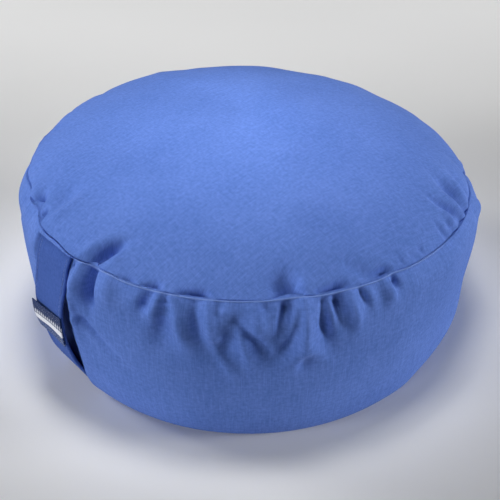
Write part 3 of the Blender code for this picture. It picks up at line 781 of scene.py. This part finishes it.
def strap_outline():
    """The strap's cross-section: (across, depth under the outer face), with round folded edges."""
    half, round_edge = STRAP_WIDTH / 2.0, STRAP_THICK / 2.0
    flat = half - round_edge
    outline = []
    for across in np.linspace(-flat, flat, STRAP_COLUMNS):
        line = sum(bump(across, s * (half - STITCH_INSET), STITCH_SINK_HALF) for s in (-1, 1))
        outline.append((across, STITCH_SINK * line))
    right = []
    for turn in np.radians(np.arange(22.5, 180.0, 22.5)):
        right.append((flat + round_edge * math.sin(turn), round_edge - round_edge * math.cos(turn)))
    outline += right
    for across in np.linspace(flat, -flat, STRAP_COLUMNS // 2):
        outline.append((across, STRAP_THICK))
    outline += [(-across, STRAP_THICK - depth) for across, depth in right]
    return outline


def tube_faces(rings, sides):
    """The faces of a closed tube of rings with so many points each, with flat ends."""
    faces = []
    for i in range(rings - 1):
        for k in range(sides):
            a, b = i * sides + k, i * sides + (k + 1) % sides
            faces.append((a, a + sides, b + sides, b))
    faces.append(tuple(range(sides)))
    faces.append(tuple(range(rings * sides - 1, (rings - 1) * sides - 1, -1)))
    return faces


def make_strap():
    """The strap's cloth from the top seam to the bottom one, and its length."""
    face, inward = strap_section(STRAP_ROWS)
    length = run_lengths(face)
    outline = strap_outline()
    verts, cloth = [], []
    for i, run in enumerate(length):
        for across, depth in outline:
            ripple = RIPPLE_RISE * math.sin(run / RIPPLE_SHORT + RIPPLE_SKEW * across / STRAP_WIDTH)
            ripple *= math.sin(run / RIPPLE_LONG)
            verts.append(strap_point(2.0 * across / STRAP_WIDTH, face, inward, i, ripple - depth))
            cloth.append((across, -run, depth))
    strap = add_piece("strap_cloth", verts, tube_faces(STRAP_ROWS, len(outline)))
    set_cloth_run(strap, cloth)
    return strap, length[-1]


def stitch_verts(start, end, out):
    """One stitch: a short round thread that dips into the cloth at both ends."""
    along = (end - start) / np.linalg.norm(end - start)
    side = np.cross(along, out)
    verts = []
    for share, rise in STITCH_ARC:
        middle = start + (end - start) * share + out * rise * THREAD_RADIUS
        for turn in np.radians(np.arange(0.0, 360.0, 360.0 / THREAD_SIDES)):
            verts.append(middle + THREAD_RADIUS * (side * math.cos(turn) + out * math.sin(turn)))
    return verts


def make_topstitch():
    """Two lines of stitches along the strap's edges, joined as one piece."""
    face, inward = strap_section(STITCH_POINTS)
    length = run_lengths(face)
    tube = tube_faces(len(STITCH_ARC), THREAD_SIDES)
    verts, faces = [], []
    for side in (-1, 1):
        share = side * (1.0 - 2.0 * STITCH_INSET / STRAP_WIDTH)
        at = STITCH_FROM_END
        while at + STITCH_LENGTH < length[-1] - STITCH_FROM_END:
            i, j = (int(np.searchsorted(length, s)) for s in (at, at + STITCH_LENGTH))
            start = strap_point(share, face, inward, i, -STITCH_SINK)
            end = strap_point(share, face, inward, j, -STITCH_SINK)
            base = len(verts)
            verts.extend(stitch_verts(start, end, np.array((0.0, inward[i, 0], -inward[i, 1]))))
            faces.extend(tuple(base + k for k in reversed(face_points)) for face_points in tube)
            at += STITCH_LENGTH + STITCH_GAP
    return add_piece("strap_topstitch", verts, faces)


# ---- The tag ----
TAG_POINTS = 2400  # points along the strap that the tag lies on
TAG_COLUMNS, TAG_ROWS = 60, 40
TAG_CLOTH_SHARE = 0.62  # share of the solid's thickness that the cloth has
TAG_WAVE = 0.16  # rise of its slight waves
SELVAGE_RISE = 0.10  # its woven edges are this much thicker
SELVAGE_FROM, SELVAGE_FULL = 0.86, 0.95
CORNER_LIFT = 1.2  # how far its loose corner stands up
CORNER_CURL = 0.8  # and how far it is drawn in
CORNER_FROM, CORNER_FULL = 0.62, 1.3


def tag_point(across, up, face, inward, out):
    """A point over the tag's place; across and up are counted from the tag's middle."""
    height = TAG_MIDDLE_HEIGHT + up + across * math.tan(math.radians(TAG_TILT))
    i = len(face) - 1 - int(np.searchsorted(face[::-1, 1], height))
    return strap_point(2.0 * across / STRAP_WIDTH, face, inward, i, out)


def make_tag():
    """The woven tag: it lies on the strap, and its upper left corner has come away a little."""
    face, inward = strap_section(TAG_POINTS)
    verts, cloth = [], []
    for layer in (1, 0):
        for v in np.linspace(0.5, -0.5, TAG_ROWS):
            for u in np.linspace(-0.5, 0.5, TAG_COLUMNS):
                across, up = u * TAG_WIDTH, v * TAG_HEIGHT
                corner = smooth(CORNER_FROM, CORNER_FULL, (0.5 - u) * 0.9 + (v + 0.5) * 0.62)
                selvage = SELVAGE_RISE * smooth(SELVAGE_FROM, SELVAGE_FULL, max(abs(u), abs(v)) * 2.0)
                wave = TAG_WAVE * math.sin(u * 9.0 + 1.0) * math.sin(v * 5.0)
                thick = TAG_THICK * TAG_CLOTH_SHARE + selvage
                out = LIE + CORNER_LIFT * corner + wave + layer * thick
                verts.append(tag_point(across - CORNER_CURL * corner, up, face, inward, out))
                cloth.append((across, up, 0.0))
    n = TAG_ROWS * TAG_COLUMNS
    grid = np.arange(n).reshape(TAG_ROWS, TAG_COLUMNS)
    corners = (grid[:-1, :-1], grid[1:, :-1], grid[1:, 1:], grid[:-1, 1:])
    faces = []
    for a, b, c, d in zip(*(corner.ravel().tolist() for corner in corners)):
        faces += [(a, b, c, d), (n + a, n + d, n + c, n + b)]
    rim = np.concatenate((grid[0], grid[1:, -1], grid[-1, -2::-1], grid[-2:0:-1, 0])).tolist()
    for a, b in zip(rim, rim[1:] + rim[:1]):
        faces.append((a, b, n + b, n + a))
    tag = add_piece("tag_cloth", verts, faces)
    set_cloth_run(tag, cloth)
    return tag


# ---- Materials ----
class Nodes:
    """Short calls for building a material's nodes."""

    def __init__(self, name):
        self.material = bpy.data.materials.new(name)
        self.material.use_nodes = True
        self.tree = self.material.node_tree
        self.shader = self.tree.nodes["Principled BSDF"]

    def add(self, kind, inputs=None, **settings):
        """A node with its settings and inputs."""
        node = self.tree.nodes.new("ShaderNode" + kind)
        for key, value in settings.items():
            setattr(node, key, value)
        self.feed(node, inputs or {})
        return node

    def feed(self, node, inputs):
        """Links or sets a node's inputs, given by their names or numbers."""
        for name, value in inputs.items():
            if isinstance(value, bpy.types.NodeSocket):
                self.tree.links.new(value, node.inputs[name])
            else:
                node.inputs[name].default_value = value

    def math(self, operation, *values):
        return self.add("Math", dict(enumerate(values)), operation=operation).outputs[0]

    def total(self, *parts):
        """The sum of (value, weight) pairs."""
        terms = [self.math("MULTIPLY", value, weight) for value, weight in parts]
        whole = terms[0]
        for term in terms[1:]:
            whole = self.math("ADD", whole, term)
        return whole

    def noise(self, vector, scale, detail=2.0, roughness=0.5):
        inputs = {"Vector": vector, "Scale": scale, "Detail": detail, "Roughness": roughness}
        return self.add("TexNoise", inputs).outputs["Fac"]

    def grain(self, vector, scales, detail=2.0):
        """Noise with a scale of its own along each way."""
        moved = self.add("Mapping", {"Vector": vector, "Scale": scales})
        return self.noise(moved.outputs["Vector"], 1.0, detail)

    def ramp(self, value, *stops):
        """A colour ramp through (position, colour) stops."""
        node = self.add("ValToRGB", {"Fac": value})
        while len(node.color_ramp.elements) < len(stops):
            node.color_ramp.elements.new(0.5)
        for element, (position, colour) in zip(node.color_ramp.elements, stops):
            element.position = position
            element.color = (*colour, 1.0)
        return node.outputs["Color"]

    def mix(self, share, a, b, blend="MIX"):
        inputs = {"Factor": share, "A": a, "B": b}
        return self.add("Mix", inputs, data_type="RGBA", blend_type=blend).outputs["Result"]

    def bump(self, height, distance, strength, under=None):
        """A bump, over another one if that is given."""
        inputs = {"Height": height, "Distance": distance, "Strength": strength}
        if under is not None:
            inputs["Normal"] = under
        return self.add("Bump", inputs).outputs["Normal"]


# Sizes in a material are in metres, and a grain is a noise's scale, along the weft and the warp.
YARN = 0.00052  # from one warp yarn to the next
YARN_RISE = 0.00006
# painted shade: the colour is this much darker in the gaps between the yarns
YARN_GAP_SHADE = 0.80
# painted highlight: the paler colour mixed in along the band's folded edge, and how much of it
HIGHLIGHT_COTTON = (0.27, 0.40, 0.80, 1.0)
HIGHLIGHT_SHARE = 0.6
WARP_SLUBS = (1500.0, 90.0, 1.0)
WEFT_SLUBS = (110.0, 1400.0, 1.0)
SLUB_RISE = 0.00010
DYE_CLOUDS = 16.0
DYE_SPECKS = 420.0
TONE_DARK, TONE_LIGHT = 0.38, 0.62  # the uneven dye's tones, from dark to light
COTTON_ROUGHNESS = 0.81  # of its smoothest specks
ROUGHER = 0.10
SHEEN_TINT = (0.62, 0.72, 1.0, 1.0)

THREAD_COLOUR = (0.080, 0.155, 0.47)
THREAD_SHADE = 0.72  # painted shade: how dark the gaps of its twist are
THREAD_TWIST = (900.0, 900.0, 2600.0)
THREAD_RISE = 0.00005


def weave(n, run):
    """A plain weave's height, from 0 to 1: warp and weft yarns that pass over each other in turn."""
    parts = n.add("SeparateXYZ", {0: run})
    turn = math.pi / YARN
    x = n.math("MULTIPLY", parts.outputs["X"], turn)
    y = n.math("MULTIPLY", parts.outputs["Y"], turn)
    warp = n.math("ABSOLUTE", n.math("SINE", x))
    weft = n.math("ABSOLUTE", n.math("SINE", y))
    cell = n.math("SINE", n.math("ADD", n.math("FLOOR", n.math("DIVIDE", x, math.pi)),
                                 n.math("FLOOR", n.math("DIVIDE", y, math.pi))))
    over = n.math("MULTIPLY_ADD", n.math("SIGN", cell), 0.5, 0.5)
    under = n.math("SUBTRACT", 1.0, over)
    return n.math("ADD", n.math("MULTIPLY", warp, over), n.math("MULTIPLY", weft, under))


def cotton_material(name, dark, light):
    """Matte woven cotton: yarns with painted shade in their gaps, slubs both ways, slightly uneven dye
    and a painted highlight along the folded edge.
    """
    n = Nodes(name)
    run = n.add("Attribute", attribute_name="cloth_run").outputs["Vector"]
    yarns = weave(n, run)
    slub = n.grain(run, WARP_SLUBS)
    cross = n.grain(run, WEFT_SLUBS)
    cloud = n.noise(run, DYE_CLOUDS, 4.0, 0.55)
    speck = n.noise(run, DYE_SPECKS, 3.0, 0.6)
    tone = n.total((cloud, 0.24), (slub, 0.26), (cross, 0.14), (speck, 0.36))
    colour = n.ramp(tone, (TONE_DARK, dark), (TONE_LIGHT, light))
    # a painted highlight along the band's folded edge
    highlight = n.add("Attribute", attribute_name="edge_highlight").outputs["Fac"]
    colour = n.mix(n.math("MULTIPLY", highlight, HIGHLIGHT_SHARE), colour, HIGHLIGHT_COTTON)
    # painted shade in the gaps between the yarns, multiplied into the colour
    shade = n.ramp(yarns, (0.0, (YARN_GAP_SHADE,) * 3), (0.6, (1.0, 1.0, 1.0)))
    colour = n.mix(1.0, colour, shade, "MULTIPLY")
    fine = n.bump(yarns, YARN_RISE, 0.7)
    n.feed(n.shader, {
        "Base Color": colour,
        "Roughness": n.math("MULTIPLY_ADD", speck, ROUGHER, COTTON_ROUGHNESS),
        "Specular IOR Level": 0.10,
        "Sheen Weight": 0.05,
        "Sheen Roughness": 0.45,
        "Sheen Tint": SHEEN_TINT,
        "Normal": n.bump(n.math("ADD", slub, cross), SLUB_RISE, 0.55, under=fine),
    })
    return n.material


def thread_material(name):
    """Twisted sewing thread."""
    n = Nodes(name)
    place = n.add("TexCoord").outputs["Object"]
    twist = n.grain(place, THREAD_TWIST)
    # painted shade in the gaps of the twist
    darker = tuple(THREAD_SHADE * c for c in THREAD_COLOUR)
    n.feed(n.shader, {
        "Base Color": n.ramp(twist, (0.35, darker), (0.65, THREAD_COLOUR)),
        "Roughness": n.math("MULTIPLY_ADD", twist, 0.2, 0.5),
        "Sheen Weight": 0.2,
        "Normal": n.bump(twist, THREAD_RISE, 0.6),
    })
    return n.material


# The tag's woven stripes, from its lower edge up: where each ends, as a share of its height.
TAG_PALE_NAVY_TO = 0.32
TAG_WHITE_TO = 0.52
TAG_ZIGZAG_TO = 0.70
ZIGZAG_PITCH = 0.0026  # from one small diamond to the next
DIAMOND_SLOPE = 13.0  # how fast a diamond narrows upwards and downwards
DIAMOND_WIDER = 0.15  # and how much it is wider than its half of the pitch
TAG_RAGGED = 0.0006  # how far a stripe's edge strays
RAGGED_GRAIN = (2400.0, 2400.0, 1.0)
FLECK_GRAIN = (1500.0, 900.0, 1.0)
FLECK_ABOVE = 0.60  # the flecks are where this noise is higher
PALE_FLECKS, DARK_FLECKS = 0.5, 0.25  # how white they are on pale and on dark navy
RIB, PICK = 0.00034, 0.00026  # from one rib or pick of the satin to the next
TAG_RISE = 0.00006
# a stripe's colour between its threads, darker there as painted shade, and on them
TAG_NAVY = ((0.003, 0.010, 0.050), (0.010, 0.032, 0.130))
TAG_PALE_NAVY = ((0.014, 0.036, 0.120), (0.030, 0.070, 0.220))
TAG_WHITE = ((0.42, 0.46, 0.56), (0.86, 0.87, 0.90))


def tag_material():
    """Satin weave in stripes: pale navy, white, a row of small diamonds, and dark navy on top."""
    n = Nodes("tag_weave")
    run = n.add("Attribute", attribute_name="cloth_run").outputs["Vector"]
    parts = n.add("SeparateXYZ", {0: run})
    ragged = n.math("SUBTRACT", n.grain(run, RAGGED_GRAIN), 0.5)
    ragged = n.math("MULTIPLY", ragged, TAG_RAGGED)
    across = n.math("ADD", parts.outputs["X"], ragged)
    up = n.math("ADD", parts.outputs["Y"], ragged)
    share = n.math("MULTIPLY_ADD", up, 1.0 / (TAG_HEIGHT * MM), 0.5)

    def above(level):
        return n.math("GREATER_THAN", share, level)

    def threads(way, pitch):
        return n.math("ABSOLUTE", n.math("SINE", n.math("MULTIPLY", way, math.pi / pitch)))

    ribs = threads(parts.outputs["X"], RIB)
    picks = threads(parts.outputs["Y"], PICK)
    grain = n.math("MULTIPLY", n.math("ADD", ribs, picks), 0.5)
    fleck = n.math("GREATER_THAN", n.grain(run, FLECK_GRAIN, 3.0), FLECK_ABOVE)
    # each stripe is darker between its threads: painted shade
    navy, pale_navy, white = (n.ramp(grain, (0.0, between), (1.0, on))
                              for between, on in (TAG_NAVY, TAG_PALE_NAVY, TAG_WHITE))
    pale_navy = n.mix(n.math("MULTIPLY", fleck, PALE_FLECKS), pale_navy, white)
    navy = n.mix(n.math("MULTIPLY", fleck, DARK_FLECKS), navy, white)

    middle = (TAG_WHITE_TO + TAG_ZIGZAG_TO) / 2.0
    turn = n.math("MULTIPLY", across, 2.0 * math.pi / ZIGZAG_PITCH)
    off = n.math("MULTIPLY", n.math("SUBTRACT", share, middle), DIAMOND_SLOPE)
    off = n.math("SUBTRACT", n.math("ABSOLUTE", off), DIAMOND_WIDER)
    diamond = n.math("GREATER_THAN", n.math("COSINE", turn), off)
    colour = n.mix(above(TAG_PALE_NAVY_TO), pale_navy, white)
    colour = n.mix(above(TAG_WHITE_TO), colour, n.mix(diamond, navy, white))
    colour = n.mix(above(TAG_ZIGZAG_TO), colour, navy)
    n.feed(n.shader, {
        "Base Color": colour,
        "Roughness": n.math("MULTIPLY_ADD", grain, 0.15, 0.5),
        "Specular IOR Level": 0.15,
        "Normal": n.bump(grain, TAG_RISE, 0.8),
    })
    return n.material


# ---- Stage ----
# The camera, in degrees and metres; its lens and sensor in millimetres.
VIEW_BEARING = 50.0
VIEW_ELEVATION = 34.33
VIEW_DISTANCE = 0.713
VIEW_TARGET_HEIGHT = 0.0404
VIEW_TARGET_LEFT = 0.0019
VIEW_LENS = 68.0
VIEW_SENSOR = 36.0


def view_axes():
    """Unit vectors to the camera's right, and level towards the camera."""
    turn = math.radians(VIEW_BEARING)
    right = Vector((math.cos(turn), math.sin(turn), 0.0))
    toward = Vector((math.sin(turn), -math.cos(turn), 0.0))
    return right, toward


def make_camera():
    """The camera at the photograph's angle."""
    right, toward = view_axes()
    rise = math.radians(VIEW_ELEVATION)
    target = -VIEW_TARGET_LEFT * right + Vector((0.0, 0.0, VIEW_TARGET_HEIGHT))
    back = toward * math.cos(rise) + Vector((0.0, 0.0, math.sin(rise)))
    camera = bpy.data.objects.new("photo_camera", bpy.data.cameras.new("photo_camera"))
    camera.location = target + back * VIEW_DISTANCE
    camera.rotation_euler = back.to_track_quat("Z", "Y").to_euler()
    camera.data.lens = VIEW_LENS
    camera.data.sensor_width = VIEW_SENSOR
    bpy.context.scene.collection.objects.link(camera)
    bpy.context.scene.camera = camera


LIGHT_AIM = 0.07  # height that the side lights face, in metres
SIDE_DISTANCE = 4.0
SIDE_SIZE = 1.0
# name, turn from the camera towards picture right, elevation, watts
SIDE_LIGHTS = (
    ("key_light", 86, 8, 125),
    ("left_light", 293, 8, 66),
    ("front_left_light", 322, 12, 28),
    ("high_left_light", 250, 32, 42),
)
AIR_LIGHT = 0.05
AIR_COLOUR = (0.96, 0.98, 1.0, 1.0)
# Lights straight down: a soft one behind the cushion, for a pale background, and two on the crown.
# name, shape, picture right, towards the camera, height, size, spread in degrees, watts
DOWN_LIGHTS = (
    ("backdrop_light", "DISK", 0, -1.2, 1.2, 2, 36, 4),
    ("crown_light_left", "SQUARE", -0.07, 0, 0.70, 0.2, 42, 0.19),
    ("crown_light_right", "SQUARE", 0.06, 0.02, 0.70, 0.2, 42, 0.12),
)


def add_light(name, place, facing, size, watts):
    """An area light, its size in metres."""
    light = bpy.data.objects.new(name, bpy.data.lights.new(name, "AREA"))
    light.location = place
    light.rotation_euler = facing.to_track_quat("-Z", "Y").to_euler()
    light.data.size = size
    light.data.energy = watts
    bpy.context.scene.collection.objects.link(light)
    return light


def make_lights():
    """Low side lights that show the folds, and soft lights from above."""
    right, toward = view_axes()
    up = Vector((0.0, 0.0, 1.0))
    for name, turn, elevation, watts in SIDE_LIGHTS:
        turn, rise = math.radians(turn), math.radians(elevation)
        level = right * math.sin(turn) + toward * math.cos(turn)
        way = level * math.cos(rise) + up * math.sin(rise)
        add_light(name, up * LIGHT_AIM + way * SIDE_DISTANCE, -way, SIDE_SIZE, watts)
    for name, shape, rightward, forward, height, size, spread, watts in DOWN_LIGHTS:
        place = right * rightward + toward * forward + up * height
        light = add_light(name, place, -up, size, watts)
        light.data.shape = shape
        light.data.spread = math.radians(spread)


def make_surroundings():
    """Pale air all round, so that no side stands before black."""
    world = bpy.data.worlds.new("pale_air")
    world.use_nodes = True
    background = next(node for node in world.node_tree.nodes if node.type == "BACKGROUND")
    background.inputs["Color"].default_value = AIR_COLOUR
    background.inputs["Strength"].default_value = AIR_LIGHT
    bpy.context.scene.world = world


FLOOR_HALF = 4000.0
FLOOR_DROP = 0.3  # gap under the cushion
FLOOR_CLOUDS = 3.0
FLOOR_DARK, FLOOR_LIGHT = (0.87,) * 3, (0.90,) * 3


def make_floor():
    """A plain pale floor, with clouds that hardly show."""
    sides = ((-1, -1), (1, -1), (1, 1), (-1, 1))
    corners = [(x * FLOOR_HALF, y * FLOOR_HALF, -FLOOR_DROP) for x, y in sides]
    floor = add_piece("floor", corners, [(0, 1, 2, 3)])
    n = Nodes("pale_floor")
    clouds = n.noise(n.add("TexCoord").outputs["Object"], FLOOR_CLOUDS)
    colour = n.ramp(clouds, (0.3, FLOOR_DARK), (0.7, FLOOR_LIGHT))
    n.feed(n.shader, {"Base Color": colour, "Roughness": 0.9})
    floor.data.materials.append(n.material)


def dress(obj, material, node):
    """Gives a piece its material, hangs it on the root body and hides the solid that it stands for."""
    obj.data.materials.append(material)
    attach(obj, "root")
    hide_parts(node)


# ---- The cushion ----
# linear colours
COTTON_DARK = (0.074, 0.152, 0.470)
COTTON_LIGHT = (0.132, 0.234, 0.650)
STRAP_DARK = (0.034, 0.080, 0.305)
STRAP_LIGHT = (0.062, 0.124, 0.425)

bpy.context.scene.view_settings.view_transform = "Standard"
cotton = cotton_material("cushion_cotton", COTTON_DARK, COTTON_LIGHT)
cover = make_cover()
dress(cover, cotton, "cushion_body")

strap, strap_length = make_strap()
dress(strap, cotton_material("strap_cotton", STRAP_DARK, STRAP_LIGHT), "carry_strap")
topstitch = make_topstitch()
dress(topstitch, thread_material("strap_thread"), "carry_strap")

tag = make_tag()
dress(tag, tag_material(), "woven_tag")

make_camera()
make_lights()
make_surroundings()
make_floor()
